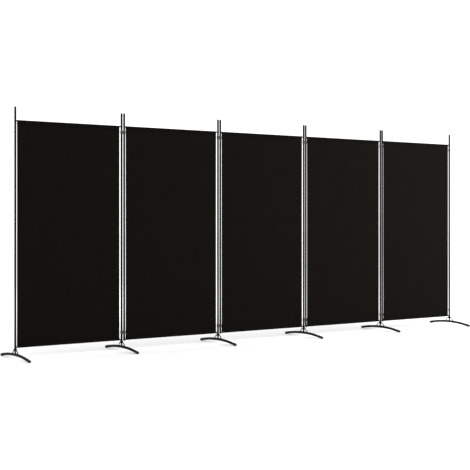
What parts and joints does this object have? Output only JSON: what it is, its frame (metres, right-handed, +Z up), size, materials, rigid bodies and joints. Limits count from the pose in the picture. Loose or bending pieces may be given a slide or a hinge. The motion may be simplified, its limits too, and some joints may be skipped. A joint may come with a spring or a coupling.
{
  "type": "folding room divider screen",
  "caption": "Free-standing folding room divider: flat fabric panels in slim tubular steel frames, joined by twin-ring hinge clips on arched feet.",
  "frame": {"origin": "on the floor, under the middle of the straight row's box", "axes": "+X along the row from the first panel to the last, +Y to the back, +Z up"},
  "size_m": [4.336, 0.5, 1.77],
  "materials": {
    "post_steel": "satin black powder coat",
    "rail_steel": "satin black powder coat",
    "foot_steel": "satin black powder coat",
    "cap_plastic": "matte black moulding",
    "clip_plastic": "matte black moulding",
    "fabric": "plain woven polyester, warm black"
  },
  "bodies": {
    "panel_1": {"panel_1_left_post": "post_steel", "panel_1_left_cap": "cap_plastic", "panel_1_right_post": "post_steel", "panel_1_right_cap": "cap_plastic", "panel_1_top_rail": "rail_steel", "panel_1_bottom_rail": "rail_steel", "panel_1_fabric": "fabric"},
    "panel_2": {"panel_2_left_post": "post_steel", "panel_2_left_cap": "cap_plastic", "panel_2_right_post": "post_steel", "panel_2_right_cap": "cap_plastic", "panel_2_top_rail": "rail_steel", "panel_2_bottom_rail": "rail_steel", "panel_2_fabric": "fabric"},
    "panel_3": {"panel_3_left_post": "post_steel", "panel_3_left_cap": "cap_plastic", "panel_3_right_post": "post_steel", "panel_3_right_cap": "cap_plastic", "panel_3_top_rail": "rail_steel", "panel_3_bottom_rail": "rail_steel", "panel_3_fabric": "fabric"},
    "panel_4": {"panel_4_left_post": "post_steel", "panel_4_left_cap": "cap_plastic", "panel_4_right_post": "post_steel", "panel_4_right_cap": "cap_plastic", "panel_4_top_rail": "rail_steel", "panel_4_bottom_rail": "rail_steel", "panel_4_fabric": "fabric"},
    "panel_5": {"panel_5_left_post": "post_steel", "panel_5_left_cap": "cap_plastic", "panel_5_right_post": "post_steel", "panel_5_right_cap": "cap_plastic", "panel_5_top_rail": "rail_steel", "panel_5_bottom_rail": "rail_steel", "panel_5_fabric": "fabric", "end_clip_upper": "clip_plastic", "end_clip_lower": "clip_plastic"},
    "link_1": {"hinge_clip_1_upper": "clip_plastic", "hinge_clip_1_lower": "clip_plastic"},
    "link_2": {"hinge_clip_2_upper": "clip_plastic", "hinge_clip_2_lower": "clip_plastic"},
    "link_3": {"hinge_clip_3_upper": "clip_plastic", "hinge_clip_3_lower": "clip_plastic"},
    "link_4": {"hinge_clip_4_upper": "clip_plastic", "hinge_clip_4_lower": "clip_plastic"},
    "foot_1": {"foot_1": "foot_steel"},
    "foot_2": {"foot_2": "foot_steel"},
    "foot_3": {"foot_3": "foot_steel"},
    "foot_4": {"foot_4": "foot_steel"},
    "foot_5": {"foot_5": "foot_steel"},
    "foot_6": {"foot_6": "foot_steel"}
  },
  "joints": [
    {"name": "clip_3_turn", "type": "hinge", "parent": "panel_3", "child": "link_3", "pos_m": [0.42262, 0, 0.9], "axis": [0, 0, 1], "range_deg": [-90, 90]},
    {"name": "panel_4_fold", "type": "hinge", "parent": "link_3", "child": "panel_4", "pos_m": [0.44482, 0, 0.9], "axis": [0, 0, 1], "range_deg": [-90, 90]},
    {"name": "clip_4_turn", "type": "hinge", "parent": "panel_4", "child": "link_4", "pos_m": [1.29006, 0, 0.9], "axis": [0, 0, -1], "range_deg": [-90, 90]},
    {"name": "panel_5_fold", "type": "hinge", "parent": "link_4", "child": "panel_5", "pos_m": [1.31226, 0, 0.9], "axis": [0, 0, -1], "range_deg": [-90, 90]},
    {"name": "clip_2_turn", "type": "hinge", "parent": "panel_3", "child": "link_2", "pos_m": [-0.42262, 0, 0.9], "axis": [0, 0, 1], "range_deg": [-90, 90]},
    {"name": "panel_2_fold", "type": "hinge", "parent": "link_2", "child": "panel_2", "pos_m": [-0.44482, 0, 0.9], "axis": [0, 0, 1], "range_deg": [-90, 90]},
    {"name": "clip_1_turn", "type": "hinge", "parent": "panel_2", "child": "link_1", "pos_m": [-1.29006, 0, 0.9], "axis": [0, 0, -1], "range_deg": [-90, 90]},
    {"name": "panel_1_fold", "type": "hinge", "parent": "link_1", "child": "panel_1", "pos_m": [-1.31226, 0, 0.9], "axis": [0, 0, -1], "range_deg": [-90, 90]},
    {"name": "foot_1_swivel", "type": "hinge", "parent": "panel_1", "child": "foot_1", "pos_m": [-2.1575, 0, 0.05], "axis": [0, 0, 1], "range_deg": [-90, 90]},
    {"name": "foot_2_swivel", "type": "hinge", "parent": "panel_1", "child": "foot_2", "pos_m": [-1.31226, 0, 0.05], "axis": [0, 0, 1], "range_deg": [-90, 90]},
    {"name": "foot_3_swivel", "type": "hinge", "parent": "panel_2", "child": "foot_3", "pos_m": [-0.44482, 0, 0.05], "axis": [0, 0, 1], "range_deg": [-90, 90]},
    {"name": "foot_4_swivel", "type": "hinge", "parent": "panel_3", "child": "foot_4", "pos_m": [0.42262, 0, 0.05], "axis": [0, 0, 1], "range_deg": [-90, 90]},
    {"name": "foot_5_swivel", "type": "hinge", "parent": "panel_4", "child": "foot_5", "pos_m": [1.29006, 0, 0.05], "axis": [0, 0, 1], "range_deg": [-90, 90]},
    {"name": "foot_6_swivel", "type": "hinge", "parent": "panel_5", "child": "foot_6", "pos_m": [2.1575, 0, 0.05], "axis": [0, 0, 1], "range_deg": [-90, 90]}
  ]
}
